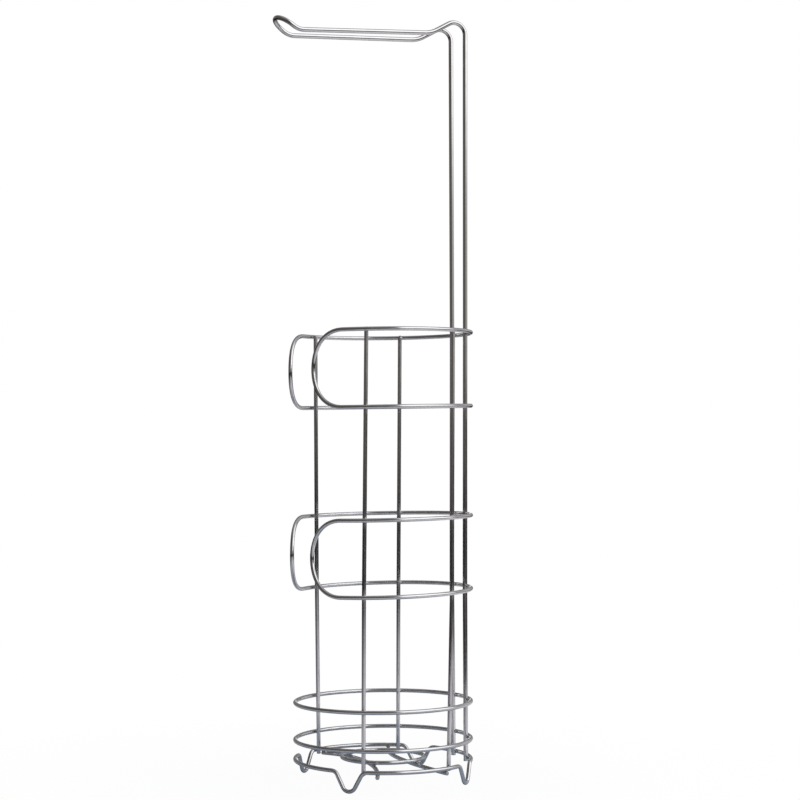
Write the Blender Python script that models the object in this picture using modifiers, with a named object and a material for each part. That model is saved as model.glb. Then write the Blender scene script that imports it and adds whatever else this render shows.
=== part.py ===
"""Freestanding toilet paper holder: a stand of chrome-plated steel wire, welded where the wires cross.

+X points from the basket's axis to the posts, and the arm reaches back over the basket towards -X,
where the collars leave the mouth open. +Z is up and the feet stand on z = 0. Seen with the posts on
the right, -Y is the front. The basket's axis is set off the origin along X, so that the origin lies
under the middle of the whole outline.

Lengths are in metres, and angles in degrees from +X, seen from above. A height is that of a wire's
centreline unless its name says otherwise.
"""

from math import acos, asin, atan2, ceil, cos, degrees, hypot, pi, radians, sin, sqrt, tan

import bpy
from mathutils import Matrix, Vector

# Wires
WIRE_D = 0.0035
HANGER_D = 0.0040
WELD_GAP = 0.0003
END_CHAMFER = 0.0005

# Hoops, collars and the foot hoop share one centreline radius
HOOP_R = 0.0750

# Feet: four bends down out of the lowest hoop
FOOT_ANGLES = (-132.5, -42.5, 45.0, 135.0)
FOOT_DROP = 0.0161
FOOT_HALF_SPAN = 0.0158
TOE_R = 0.0060
SHOULDER_R = 0.0060

# Heights of the hoops, and of the lower edge of each collar
LOWER_HOOP_Z = 0.0349
UPPER_HOOP_Z = 0.0666
LOWER_COLLAR_Z = 0.1617
UPPER_COLLAR_Z = 0.3179
COLLAR_H = 0.0626

# The collars' round ends: the angles of the front and the back one, and how far the back one springs out
LOWER_COLLAR_ENDS = (-162.3, 160.5)
UPPER_COLLAR_ENDS = (-161.0, 160.5)
LOWER_COLLAR_SPRING = 0.0027
UPPER_COLLAR_SPRING = 0.0041

# Hoops and collars are welded on a little askew: the angles by which the side at the posts stands up,
# and by which the back hangs down. A collar has them for its lower and for its upper edge
HOOP_ASKEW_ANGLES = {"lower_hoop": (0.35, 0.45), "upper_hoop": (0.43, 0.43)}
COLLAR_ASKEW_ANGLES = {
    "lower_collar": ((1.45, 0.0), (1.10, 0.35)),
    "upper_collar": ((0.95, -0.35), (0.45, 0.40)),
}

# Uprights: each leans a little, and is bent a little where it meets the lower collar. The angles are
# those of its foot, of that bend and of its top
UPRIGHT_ANGLES = {
    "upright_front_left": (-123.5, -123.2, -121.6),
    "upright_front_right": (-60.7, -56.9, -55.6),
    "upright_back_left": (121.8, 124.0, 125.5),
    "upright_back_right": (58.7, 58.4, 57.4),
}
UPRIGHT_TAIL = 0.0030
UPRIGHT_HEAD = 0.0015
SLIGHT_BEND_R = 0.0600

# Floor of the basket: two bowed wires under the foot hoop and a ring on them
ARC_END_ANGLE = 66.0
ARC_TAIL = 0.0012
ARC_MIDDLE_X = 0.0163
ARC_CAMBER = 0.0022
FLOOR_RING_R = 0.0351

# Hanger: two posts and an arm that narrows towards its tip. The posts' angles are those of the foot, of
# the lower collar and of the upper collar's top. From the posts the arm's runs are the crest down to
# the seat, the seat itself, and the tip that turns up
STAND_H = 0.6492
FRONT_POST_ANGLES = (-17.5, -13.0, -13.8)
BACK_POST_ANGLES = (9.5, 11.6, 11.4)
ARM_HALF_GAP = 0.0160
TIP_HALF_GAP = 0.0134
CREST_RUN = 0.0313
CREST_R = 0.0101
SEAT_RUN = 0.1179
SEAT_Z = 0.6369
SEAT_DROOP = 0.0050
SEAT_BEND_R = 0.0240
TIP_SLOPE = 34.9
TIP_BEND_R = 0.0150
TIP_STRAIGHT = 0.0007

# Fineness of the round shapes: a bend's chords cut inside its true curve by no more than the error
CHORD_ERROR = 0.0001
BEVEL_RESOLUTION = 3
WIRE_SIDES = 4 + 2 * BEVEL_RESOLUTION
SAME_POINT = 0.00001
SHARP_ANGLE = 50.0

WIRE_R = WIRE_D / 2
HANGER_R = HANGER_D / 2
FOOT_HOOP_Z = FOOT_DROP + WIRE_R
POST_REACH = HOOP_R - WIRE_R - HANGER_R - WELD_GAP
CREST_X = sqrt(POST_REACH**2 - ARM_HALF_GAP**2)
SEAT_POST_X = CREST_X - CREST_RUN
SEAT_TIP_X = SEAT_POST_X - SEAT_RUN
TIP_TURN = radians(TIP_SLOPE) + atan2(SEAT_DROOP, SEAT_RUN)
TIP_LIMB = TIP_BEND_R * tan(TIP_TURN / 2) + TIP_STRAIGHT + TIP_HALF_GAP
TIP_X = SEAT_TIP_X - TIP_LIMB * cos(radians(TIP_SLOPE))
AXIS_X = (-TIP_X + HANGER_R - HOOP_R - WIRE_R) / 2


def clear_scene():
    for old in list(bpy.data.objects):
        bpy.data.objects.remove(old, do_unlink=True)


def new_collection(name):
    made = bpy.data.collections.new(name)
    bpy.context.scene.collection.children.link(made)
    return made


def chrome(name):
    """Bright nickel-chrome plating."""
    material = bpy.data.materials.new(name)
    material.use_nodes = True
    shader = material.node_tree.nodes["Principled BSDF"]
    shader.inputs["Base Color"].default_value = (0.70, 0.70, 0.72, 1.0)
    shader.inputs["Metallic"].default_value = 1.0
    shader.inputs["Roughness"].default_value = 0.12
    return material


def add_piece(made, parent, holder):
    """Puts a new object in the stand's collection, on its axis and in its own chrome."""
    for collection in list(made.users_collection):
        collection.objects.unlink(made)
    holder.objects.link(made)
    made.parent = parent
    made.data.materials.clear()
    made.data.materials.append(chrome(f"{made.name}_chrome"))
    return made


def steps_for(turn, radius):
    """How many chords a bend of this turn in radians needs. The number is odd, so that the middle
    of a bend is a short straight."""
    return ceil(turn / (2 * acos(1 - CHORD_ERROR / radius))) | 1


def around(radius, angle, height=0.0):
    """A point at an angle in degrees round the basket's axis."""
    return Vector((radius * cos(radians(angle)), radius * sin(radians(angle)), height))


def bent(corners, bend_radii):
    """Centreline of a wire that runs straight from corner to corner and turns each on its own radius."""
    points = [corners[0]]
    for before, corner, after, bend_r in zip(corners, corners[1:], corners[2:], bend_radii):
        back = (before - corner).normalized()
        ahead = (after - corner).normalized()
        turn = pi - back.angle(ahead)
        steps = steps_for(turn, bend_r)
        centre = corner + (back + ahead).normalized() * (bend_r / cos(turn / 2))
        spoke = corner + back * (bend_r * tan(turn / 2)) - centre
        hinge = ahead.cross(back)
        for step in range(steps + 1):
            points.append(centre + Matrix.Rotation(turn * step / steps, 3, hinge) @ spoke)
    points.append(corners[-1])
    return [p for i, p in enumerate(points) if i == 0 or (p - points[i - 1]).length > SAME_POINT]


def divided(points, spacing):
    """The same run, with points added where two lie further apart than the spacing."""
    run = [points[0]]
    for start, end in zip(points, points[1:]):
        parts = ceil((end - start).length / spacing)
        run += [start.lerp(end, part / parts) for part in range(1, parts + 1)]
    return run


def rolled(points, spring=0.0):
    """Rolls a flat run, with x along the hoop and z up, round the axis at the hoops' radius.

    Past the last upright the back end of the run springs outwards, by the spring at its very end.
    """
    loose_from = max(top for _, _, top in UPRIGHT_ANGLES.values())
    end_angle = degrees(max(point.x for point in points) / HOOP_R)
    run = []
    for point in divided(points, HOOP_R * 2 * acos(1 - CHORD_ERROR / HOOP_R)):
        angle = degrees(point.x / HOOP_R)
        loose = max(0.0, (angle - loose_from) / (end_angle - loose_from))
        run.append(around(HOOP_R + spring * loose**2, angle, point.z))
    return run


def set_askew(name, points):
    """Lifts a collar's points at the posts and lowers them at the back, without moving them in plan."""
    lower_edge, upper_edge = (
        Vector((tan(radians(up)), -tan(radians(down)), 0.0)) for up, down in COLLAR_ASKEW_ANGLES[name]
    )
    lifted = []
    for point in points:
        climb = lower_edge.lerp(upper_edge, point.z / COLLAR_H)
        lifted.append(point + Vector((0.0, 0.0, climb.dot(point))))
    return lifted


def add_wire(name, points, diameter, parent, holder, closed=False, twist="MINIMUM"):
    """A round wire along the points, with filled and chamfered ends unless it is a closed loop."""
    curve = bpy.data.curves.new(name, "CURVE")
    curve.dimensions = "3D"
    curve.twist_mode = twist
    curve.bevel_depth = diameter / 2
    curve.bevel_resolution = BEVEL_RESOLUTION
    curve.use_fill_caps = not closed
    spline = curve.splines.new("POLY")
    spline.points.add(len(points) - 1)
    for slot, point in zip(spline.points, points):
        slot.co = (*point, 1.0)
    spline.use_cyclic_u = closed
    spline.use_smooth = True
    made = add_piece(bpy.data.objects.new(name, curve), parent, holder)
    if not closed:
        weld = made.modifiers.new("weld_caps", "WELD")
        weld.merge_threshold = SAME_POINT
        chamfer_ends(made)
    return made


def chamfer_ends(made):
    chamfer = made.modifiers.new("chamfered_ends", "BEVEL")
    chamfer.width = END_CHAMFER
    chamfer.segments = 1
    chamfer.limit_method = "ANGLE"
    chamfer.angle_limit = radians(SHARP_ANGLE)


def add_ring(name, radius, height, parent, holder):
    """A closed hoop of plain wire."""
    bpy.ops.mesh.primitive_torus_add(
        major_radius=radius,
        minor_radius=WIRE_R,
        major_segments=steps_for(2 * pi, radius),
        minor_segments=WIRE_SIDES,
        location=(0.0, 0.0, height),
    )
    made = bpy.context.object
    made.name = name
    made.data.name = name
    made.data.shade_smooth()
    if name in HOOP_ASKEW_ANGLES:
        up, down = HOOP_ASKEW_ANGLES[name]
        made.rotation_euler = (radians(-down), radians(-up), 0.0)
    return add_piece(made, parent, holder)


def foot_corners():
    """One quarter of the foot hoop laid flat, from halfway before a foot to halfway after it.

    The limbs of the foot are the straights that touch both the toe's bend and the shoulder's.
    """
    rise = FOOT_DROP - TOE_R - SHOULDER_R
    slope = atan2(rise, FOOT_HALF_SPAN) + asin((TOE_R + SHOULDER_R) / hypot(rise, FOOT_HALF_SPAN))
    shoulder_x = FOOT_HALF_SPAN - SHOULDER_R * tan(slope / 2)
    toe_depth = shoulder_x * tan(slope)
    quarter = HOOP_R * pi / len(FOOT_ANGLES)
    return [
        Vector((-quarter, 0.0, 0.0)),
        Vector((-shoulder_x, 0.0, 0.0)),
        Vector((0.0, 0.0, -toe_depth)),
        Vector((shoulder_x, 0.0, 0.0)),
        Vector((quarter, 0.0, 0.0)),
    ]


def add_foot_hoop(parent, holder):
    """The lowest hoop, bent down into a V at each foot. It keeps one flat of the wire level."""
    quarter = bent(foot_corners(), (SHOULDER_R, TOE_R, SHOULDER_R))
    points = []
    for angle in FOOT_ANGLES:
        offset = Vector((HOOP_R * radians(angle), 0.0, 0.0))
        points += rolled([point + offset for point in quarter])[:-1]
    made = add_wire("foot_hoop", points, WIRE_D, parent, holder, closed=True, twist="Z_UP")
    made.location.z = FOOT_HOOP_Z
    return made


def add_collar(name, height, ends, spring, parent, holder):
    """A flat loop with round ends, rolled round the basket with its middle at the posts."""
    end_r = COLLAR_H / 2
    front_x, back_x = (HOOP_R * radians(angle) for angle in ends)
    corners = [
        Vector((0.0, 0.0, 0.0)),
        Vector((back_x, 0.0, 0.0)),
        Vector((back_x, 0.0, COLLAR_H)),
        Vector((front_x, 0.0, COLLAR_H)),
        Vector((front_x, 0.0, 0.0)),
        Vector((0.0, 0.0, 0.0)),
    ]
    flat = bent(corners, (end_r, end_r, end_r, end_r))
    points = set_askew(name, rolled(flat, spring)[:-1])
    made = add_wire(name, points, WIRE_D, parent, holder, closed=True)
    made.location.z = height
    return made


def add_upright(name, angles, parent, holder):
    """A wire on the inside of the hoops, from under the foot hoop to the upper collar."""
    radius = HOOP_R - WIRE_D - WELD_GAP
    heights = (FOOT_HOOP_Z - UPRIGHT_TAIL, LOWER_COLLAR_Z, UPPER_COLLAR_Z + COLLAR_H + UPRIGHT_HEAD)
    corners = [around(radius, angle, height) for angle, height in zip(angles, heights)]
    return add_wire(name, bent(corners, (SLIGHT_BEND_R,)), WIRE_D, parent, holder)


def arc_end():
    """Where an arc's centreline crosses under the foot hoop's, as distances along X and Y."""
    return HOOP_R * cos(radians(ARC_END_ANGLE)), HOOP_R * sin(radians(ARC_END_ANGLE))


def arc_level(y):
    """Height of an arc over its own ends: it is bowed upwards in the middle."""
    return ARC_CAMBER * (1 - (y / arc_end()[1]) ** 2)


def bow_radius():
    """Plan radius of an arc that passes through its middle and both its crossings."""
    end_x, end_y = arc_end()
    bow = end_x - ARC_MIDDLE_X
    return (bow**2 + end_y**2) / (2 * bow)


def add_floor_arc(name, side, parent, holder):
    """A wire across the basket, bowed towards the axis, that lies against the foot hoop from below."""
    radius = bow_radius()
    half_turn = asin(arc_end()[1] / radius) + ARC_TAIL / radius
    height = FOOT_HOOP_Z - WIRE_D - WELD_GAP
    steps = steps_for(2 * half_turn, radius)
    points = []
    for step in range(steps + 1):
        turn = half_turn * (2 * step / steps - 1)
        x = ARC_MIDDLE_X + radius * (1 - cos(turn))
        y = radius * sin(turn)
        points.append(Vector((side * x, y, height + arc_level(y))))
    return add_wire(name, points, WIRE_D, parent, holder)


def floor_ring_height():
    """The ring lies on both arcs where it crosses them."""
    radius = bow_radius()
    centre_x = ARC_MIDDLE_X + radius
    cross_x = (FLOOR_RING_R**2 + centre_x**2 - radius**2) / (2 * centre_x)
    cross_y = sqrt(FLOOR_RING_R**2 - cross_x**2)
    arc_top = FOOT_HOOP_Z - WIRE_D - WELD_GAP + arc_level(cross_y) + WIRE_R
    return arc_top + WELD_GAP + WIRE_R


def hanger_corners(side, angles):
    """Corners of one half of the hanger, from its foot to the arm's tip. The side is -1 in front.

    The rise from the seat to the crest is the straight that touches the crest's bend.
    """
    heights = (FOOT_HOOP_Z - UPRIGHT_TAIL, LOWER_COLLAR_Z, UPPER_COLLAR_Z + COLLAR_H)
    corners = [around(POST_REACH, angle, height) for angle, height in zip(angles, heights)]
    run = CREST_RUN - CREST_R
    climb = STAND_H - HANGER_R - CREST_R - SEAT_Z
    slope = atan2(climb, run) + asin(CREST_R / hypot(run, climb))
    tip_z = SEAT_Z - SEAT_DROOP
    return corners + [
        Vector((CREST_X, side * ARM_HALF_GAP, SEAT_Z + CREST_RUN * tan(slope))),
        Vector((SEAT_POST_X, side * ARM_HALF_GAP, SEAT_Z)),
        Vector((SEAT_TIP_X, side * TIP_HALF_GAP, tip_z)),
        Vector((TIP_X, side * TIP_HALF_GAP, tip_z + TIP_LIMB * sin(radians(TIP_SLOPE)))),
    ]


def add_hanger(parent, holder):
    """One wire: up the front post, over the crest, along the arm, round its tip and back down."""
    front = hanger_corners(-1, FRONT_POST_ANGLES)
    back = hanger_corners(1, BACK_POST_ANGLES)
    bends = [SLIGHT_BEND_R, SLIGHT_BEND_R, CREST_R, SEAT_BEND_R, TIP_BEND_R, TIP_HALF_GAP]
    points = bent(front + back[::-1], bends + bends[::-1])
    return add_wire("hanger_wire", points, HANGER_D, parent, holder)


def stand_on_floor(axis, foot_hoop):
    """Sets the stand down until the flats of its feet touch z = 0."""
    bpy.context.view_layer.update()
    settled = foot_hoop.evaluated_get(bpy.context.evaluated_depsgraph_get())
    mesh = settled.to_mesh()
    lowest = min((foot_hoop.matrix_world @ vertex.co).z for vertex in mesh.vertices)
    settled.to_mesh_clear()
    axis.location.z -= lowest


def build():
    clear_scene()
    holder = new_collection("toilet_paper_holder")
    axis = bpy.data.objects.new("basket_axis", None)
    axis.location = (AXIS_X, 0.0, 0.0)
    holder.objects.link(axis)

    foot_hoop = add_foot_hoop(axis, holder)
    add_ring("lower_hoop", HOOP_R, LOWER_HOOP_Z, axis, holder)
    add_ring("upper_hoop", HOOP_R, UPPER_HOOP_Z, axis, holder)
    add_collar("lower_collar", LOWER_COLLAR_Z, LOWER_COLLAR_ENDS, LOWER_COLLAR_SPRING, axis, holder)
    add_collar("upper_collar", UPPER_COLLAR_Z, UPPER_COLLAR_ENDS, UPPER_COLLAR_SPRING, axis, holder)
    for name, angles in UPRIGHT_ANGLES.items():
        add_upright(name, angles, axis, holder)
    add_floor_arc("floor_arc_left", -1, axis, holder)
    add_floor_arc("floor_arc_right", 1, axis, holder)
    add_ring("floor_ring", FLOOR_RING_R, floor_ring_height(), axis, holder)
    add_hanger(axis, holder)
    stand_on_floor(axis, foot_hoop)


build()
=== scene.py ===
"""Freestanding toilet paper holder: a stand of chrome-plated steel wire, welded where the wires cross.

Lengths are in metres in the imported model's frame: +X points to the posts, -Y is the front and +Z is up.
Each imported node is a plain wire. Here the same centreline carries a finer wire, with the marks that
bending, welding, shearing and standing leave on it, and the welds between the wires are added.
Angles are in degrees, and round the basket they are counted from the posts' side towards the back.
"""

from collections import namedtuple
from math import acos, asin, atan2, ceil, cos, degrees, hypot, pi, radians, sin, sqrt, tan
from random import Random

import bpy
import numpy as np
from mathutils import Matrix, Vector


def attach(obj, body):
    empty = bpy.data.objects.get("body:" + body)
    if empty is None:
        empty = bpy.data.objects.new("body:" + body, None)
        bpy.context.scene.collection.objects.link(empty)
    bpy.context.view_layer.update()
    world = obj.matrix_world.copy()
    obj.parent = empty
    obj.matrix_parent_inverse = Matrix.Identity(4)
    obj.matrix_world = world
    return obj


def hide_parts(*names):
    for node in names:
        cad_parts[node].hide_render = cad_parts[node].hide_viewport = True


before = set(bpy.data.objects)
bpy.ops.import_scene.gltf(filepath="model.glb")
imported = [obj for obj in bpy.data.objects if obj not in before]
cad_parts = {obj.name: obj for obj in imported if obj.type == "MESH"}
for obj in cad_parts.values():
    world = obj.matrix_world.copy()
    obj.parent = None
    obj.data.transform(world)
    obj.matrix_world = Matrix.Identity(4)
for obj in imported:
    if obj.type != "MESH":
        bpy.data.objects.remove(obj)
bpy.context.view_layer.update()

# Wires
WIRE_D = 0.0035
HANGER_D = 0.0040
WELD_GAP = 0.0003
HOOP_R = 0.0750

# Feet: four bends down out of the lowest hoop
FOOT_ANGLES = (-132.5, -42.5, 45.0, 135.0)
FOOT_DROP = 0.0161
FOOT_HALF_SPAN = 0.0158
TOE_R = 0.0060
SHOULDER_R = 0.0060

# Heights of the hoops, and of the lower edge of each collar
LOWER_HOOP_Z = 0.0349
UPPER_HOOP_Z = 0.0666
LOWER_COLLAR_Z = 0.1617
UPPER_COLLAR_Z = 0.3179
COLLAR_H = 0.0626

# The collars' round ends: the angles of the front and the back one, and how far the back one springs out
LOWER_COLLAR_ENDS = (-162.3, 160.5)
UPPER_COLLAR_ENDS = (-161.0, 160.5)
LOWER_COLLAR_SPRING = 0.0027
UPPER_COLLAR_SPRING = 0.0041

# Hoops and collars are welded on a little askew: the angles by which the side at the posts stands up,
# and by which the back hangs down. A collar has them for its lower and for its upper edge
HOOP_ASKEW_ANGLES = {"lower_hoop": (0.35, 0.45), "upper_hoop": (0.43, 0.43)}
COLLAR_ASKEW_ANGLES = {
    "lower_collar": ((1.45, 0.0), (1.10, 0.35)),
    "upper_collar": ((0.95, -0.35), (0.45, 0.40)),
}

# Uprights: the angles of the foot, of the slight bend at the lower collar and of the top of each
UPRIGHT_ANGLES = {
    "upright_front_left": (-123.5, -123.2, -121.6),
    "upright_front_right": (-60.7, -56.9, -55.6),
    "upright_back_left": (121.8, 124.0, 125.5),
    "upright_back_right": (58.7, 58.4, 57.4),
}
UPRIGHT_TAIL = 0.0030
UPRIGHT_HEAD = 0.0009
SLIGHT_BEND_R = 0.0600

# Floor of the basket: two bowed wires under the foot hoop and a ring on them
ARC_END_ANGLE = 66.0
ARC_TAIL = 0.0012
ARC_MIDDLE_X = 0.0163
ARC_CAMBER = 0.0022
FLOOR_RING_R = 0.0351

# Hanger: the posts' angles are those of the foot, of the lower collar and of the upper collar's top
STAND_H = 0.6492
FRONT_POST_ANGLES = (-17.5, -13.0, -13.8)
BACK_POST_ANGLES = (9.5, 11.6, 11.4)
ARM_HALF_GAP = 0.0160
TIP_HALF_GAP = 0.0134
CREST_RUN = 0.0313
CREST_R = 0.0101
SEAT_RUN = 0.1179
SEAT_Z = 0.6369
SEAT_DROOP = 0.0050
SEAT_BEND_R = 0.0240
TIP_SLOPE = 34.9
TIP_BEND_R = 0.0150
TIP_STRAIGHT = 0.0007

# Places that follow from the sizes above
WIRE_R = WIRE_D / 2
HANGER_R = HANGER_D / 2
FOOT_HOOP_Z = FOOT_DROP + WIRE_R
POST_REACH = HOOP_R - WIRE_R - HANGER_R - WELD_GAP
CREST_X = sqrt(POST_REACH**2 - ARM_HALF_GAP**2)
SEAT_POST_X = CREST_X - CREST_RUN
SEAT_TIP_X = SEAT_POST_X - SEAT_RUN
TIP_TURN = radians(TIP_SLOPE) + atan2(SEAT_DROOP, SEAT_RUN)
TIP_LIMB = TIP_BEND_R * tan(TIP_TURN / 2) + TIP_STRAIGHT + TIP_HALF_GAP
TIP_X = SEAT_TIP_X - TIP_LIMB * cos(radians(TIP_SLOPE))
AXIS_X = (-TIP_X + HANGER_R - HOOP_R - WIRE_R) / 2

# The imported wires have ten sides, and the stand was set down until their lowest flats met the floor
PACKED_SIDES = 10
SETTLE = WIRE_R * (1 - cos(pi / PACKED_SIDES))

# Fineness: how far a chord may stray from a bend of the centreline, and from one of the finished wire,
# the longest stretch without a ring, the sides of a wire, how close two points count as one, and the
# decimals of a distance along a wire
PATH_ERROR = 0.000001
RING_ERROR = 0.000012
LONGEST_RUN = 0.012
SIDES = 24
SAME_POINT = 0.00001
RUN_DIGITS = 7

# A wire that starts within this angle of upright takes its first sideways direction from the Y axis
NEARLY_UPRIGHT = 5.0

# Sheared ends, rounded over by tumbling and plating
END_FILLET = 0.00045
END_STEPS = 4
END_DOME = 0.00006

# Cross welds: how far the metal squeezes out along and across each wire, how uneven that is, how its
# waist is drawn in and how deep it is sunk in the wires
BEAD_ALONG = 0.0020
BEAD_ACROSS = 0.0011
BEAD_VARIES_SHARE = 0.13
BEAD_LEANS_SHARE = 0.5
BEAD_LOBES = 3
BEAD_LOBES_SHARE = 0.3
BEAD_WAIST_SHARE = 0.16
BEAD_SUNK = 0.0004
BEAD_POINTS = 24
BEAD_ROWS = 6

# Wires whose gap is under the reach are welded, and the heat dulls them in a halo round the weld
WELD_REACH = 0.0006
WELD_HALO = 0.0030

# Crossings are found in coarse steps along both wires and then placed in fine ones. Coarse steps that
# lie this many apart, or fewer, belong to one crossing
COARSE_STEP = 0.0025
FINE_STEP = 0.0001
SAME_CROSSING_STEPS = 2

# The piece that a weld belongs to: the first of these that it ties in
WELD_OWNERS = ("upper_collar", "lower_collar", "upper_hoop", "lower_hoop", "floor_ring", "foot_hoop")

# The electrodes leave a small flat on each wire, across from every weld
FLAT_DEPTH = 0.00011
FLAT_HALF = 0.0017

# Rings close to a weld: their spacing, how many lie on each side, and in how many steps it is placed
WELD_STATION = 0.0005
WELD_STATIONS = 5
MARK_STEPS = 41

# Butt weld of a closed loop: a low ridge on either side of the seam, with rings close to it
SEAM_ANGLE = 4.0
SEAM_RIDGE = 0.00005
SEAM_RIDGE_AT = 0.0008
SEAM_RIDGE_WIDTH = 0.0005
SEAM_STATION = 0.0002
SEAM_STATIONS = 10
CLOSEST_RINGS = SEAM_STATION / 2

# A tight bend flattens the wire a little
BEND_FLATTENS_SHARE = 0.20
BEND_FLATTENS_MOST_SHARE = 0.045

Wire = namedtuple("Wire", "node slot path radius closed")

# A weld lies halfway between two wires. Its normal points from the first to the second, and along and
# across are the headings of the first and of the second
Weld = namedtuple("Weld", "first second place normal along across half_gap")


# Centrelines


def steps_for(turn, radius):
    """How many chords a bend of this turn needs. The number is odd."""
    return ceil(turn / (2 * acos(1 - PATH_ERROR / radius))) | 1


def around(radius, angle, height=0.0):
    """A point at an angle in degrees round the basket's axis."""
    return Vector((radius * cos(radians(angle)), radius * sin(radians(angle)), height))


def bent(corners, bend_radii):
    """Centreline of a wire that runs straight from corner to corner and turns each on its own radius."""
    points = [corners[0]]
    for before, corner, after, bend_r in zip(corners, corners[1:], corners[2:], bend_radii):
        back = (before - corner).normalized()
        ahead = (after - corner).normalized()
        turn = pi - back.angle(ahead)
        steps = steps_for(turn, bend_r)
        centre = corner + (back + ahead).normalized() * (bend_r / cos(turn / 2))
        spoke = corner + back * (bend_r * tan(turn / 2)) - centre
        hinge = ahead.cross(back)
        for step in range(steps + 1):
            points.append(centre + Matrix.Rotation(turn * step / steps, 3, hinge) @ spoke)
    points.append(corners[-1])
    return [p for i, p in enumerate(points) if i == 0 or (p - points[i - 1]).length > SAME_POINT]


def divided(points, spacing):
    """The same run, with points added where two lie further apart than the spacing."""
    run = [points[0]]
    for start, end in zip(points, points[1:]):
        parts = ceil((end - start).length / spacing)
        run += [start.lerp(end, part / parts) for part in range(1, parts + 1)]
    return run


def rolled(points, spring=0.0):
    """Rolls a flat run round the axis. Past the last upright its back end springs outwards."""
    loose_from = max(top for _, _, top in UPRIGHT_ANGLES.values())
    end_angle = degrees(max(point.x for point in points) / HOOP_R)
    run = []
    for point in divided(points, HOOP_R * 2 * acos(1 - PATH_ERROR / HOOP_R)):
        angle = degrees(point.x / HOOP_R)
        loose = max(0.0, (angle - loose_from) / (end_angle - loose_from))
        run.append(around(HOOP_R + spring * loose**2, angle, point.z))
    return run


def set_askew(name, points):
    """Lifts a collar's points at the posts and lowers them at the back, without moving them in plan."""
    lower_edge, upper_edge = (
        Vector((tan(radians(up)), -tan(radians(down)), 0.0)) for up, down in COLLAR_ASKEW_ANGLES[name]
    )
    lifted = []
    for point in points:
        climb = lower_edge.lerp(upper_edge, point.z / COLLAR_H)
        lifted.append(point + Vector((0.0, 0.0, climb.dot(point))))
    return lifted


def ring_path(radius, height, askew=(0.0, 0.0)):
    """A plain hoop, turned about its own middle."""
    up, down = askew
    turn = Matrix.Rotation(radians(-up), 3, "Y") @ Matrix.Rotation(radians(-down), 3, "X")
    steps = steps_for(2 * pi, radius)
    level = [around(radius, SEAM_ANGLE + 360 * step / steps) for step in range(steps)]
    return [turn @ point + Vector((0.0, 0.0, height)) for point in level]


def foot_hoop_path():
    """The lowest hoop: four alike quarters, each with a foot at its middle."""
    rise = FOOT_DROP - TOE_R - SHOULDER_R
    slope = atan2(rise, FOOT_HALF_SPAN) + asin((TOE_R + SHOULDER_R) / hypot(rise, FOOT_HALF_SPAN))
    shoulder_x = FOOT_HALF_SPAN - SHOULDER_R * tan(slope / 2)
    quarter_x = HOOP_R * pi / len(FOOT_ANGLES)
    quarter = bent(
        [
            Vector((-quarter_x, 0.0, FOOT_HOOP_Z)),
            Vector((-shoulder_x, 0.0, FOOT_HOOP_Z)),
            Vector((0.0, 0.0, FOOT_HOOP_Z - shoulder_x * tan(slope))),
            Vector((shoulder_x, 0.0, FOOT_HOOP_Z)),
            Vector((quarter_x, 0.0, FOOT_HOOP_Z)),
        ],
        (SHOULDER_R, TOE_R, SHOULDER_R),
    )
    points = []
    for angle in FOOT_ANGLES:
        offset = Vector((HOOP_R * radians(angle), 0.0, 0.0))
        points += rolled([point + offset for point in quarter])[:-1]
    return points


def collar_path(name, height, ends, spring):
    """A long flat loop with half-round ends, rolled round the basket."""
    end_r = COLLAR_H / 2
    front_x, back_x = (HOOP_R * radians(angle) for angle in ends)
    corners = [
        Vector((0.0, 0.0, 0.0)),
        Vector((back_x, 0.0, 0.0)),
        Vector((back_x, 0.0, COLLAR_H)),
        Vector((front_x, 0.0, COLLAR_H)),
        Vector((front_x, 0.0, 0.0)),
        Vector((0.0, 0.0, 0.0)),
    ]
    points = set_askew(name, rolled(bent(corners, (end_r, end_r, end_r, end_r)), spring)[:-1])
    return [point + Vector((0.0, 0.0, height)) for point in points]


def upright_path(angles):
    """An upright ends a little above the top rail, which is askew, so each has its own length."""
    radius = HOOP_R - WIRE_D - WELD_GAP
    foot_angle, bend_angle, top_angle = angles
    rail = set_askew("upper_collar", [around(radius, top_angle, COLLAR_H)])[0]
    corners = [
        around(radius, foot_angle, FOOT_HOOP_Z - UPRIGHT_TAIL),
        around(radius, bend_angle, LOWER_COLLAR_Z),
        rail + Vector((0.0, 0.0, UPPER_COLLAR_Z + UPRIGHT_HEAD)),
    ]
    return bent(corners, (SLIGHT_BEND_R,))


def arc_end():
    """Where the right floor arc passes under the foot hoop at the back."""
    return HOOP_R * cos(radians(ARC_END_ANGLE)), HOOP_R * sin(radians(ARC_END_ANGLE))


def arc_level(y):
    """How far a floor arc has risen above its ends."""
    return ARC_CAMBER * (1 - (y / arc_end()[1]) ** 2)


def bow_radius():
    """Radius of a floor arc, seen from above."""
    end_x, end_y = arc_end()
    bow = end_x - ARC_MIDDLE_X
    return (bow**2 + end_y**2) / (2 * bow)


def floor_arc_path(side):
    """A floor arc, bowed towards the middle: the left one for -1, the right one for 1."""
    radius = bow_radius()
    half_turn = asin(arc_end()[1] / radius) + ARC_TAIL / radius
    height = FOOT_HOOP_Z - WIRE_D - WELD_GAP
    steps = steps_for(2 * half_turn, radius)
    points = []
    for step in range(steps + 1):
        turn = half_turn * (2 * step / steps - 1)
        x = ARC_MIDDLE_X + radius * (1 - cos(turn))
        y = radius * sin(turn)
        points.append(Vector((side * x, y, height + arc_level(y))))
    return points


def floor_ring_height():
    """Height at which the floor ring lies on the two arcs."""
    radius = bow_radius()
    centre_x = ARC_MIDDLE_X + radius
    cross_x = (FLOOR_RING_R**2 + centre_x**2 - radius**2) / (2 * centre_x)
    return FOOT_HOOP_Z + arc_level(sqrt(FLOOR_RING_R**2 - cross_x**2))


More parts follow.
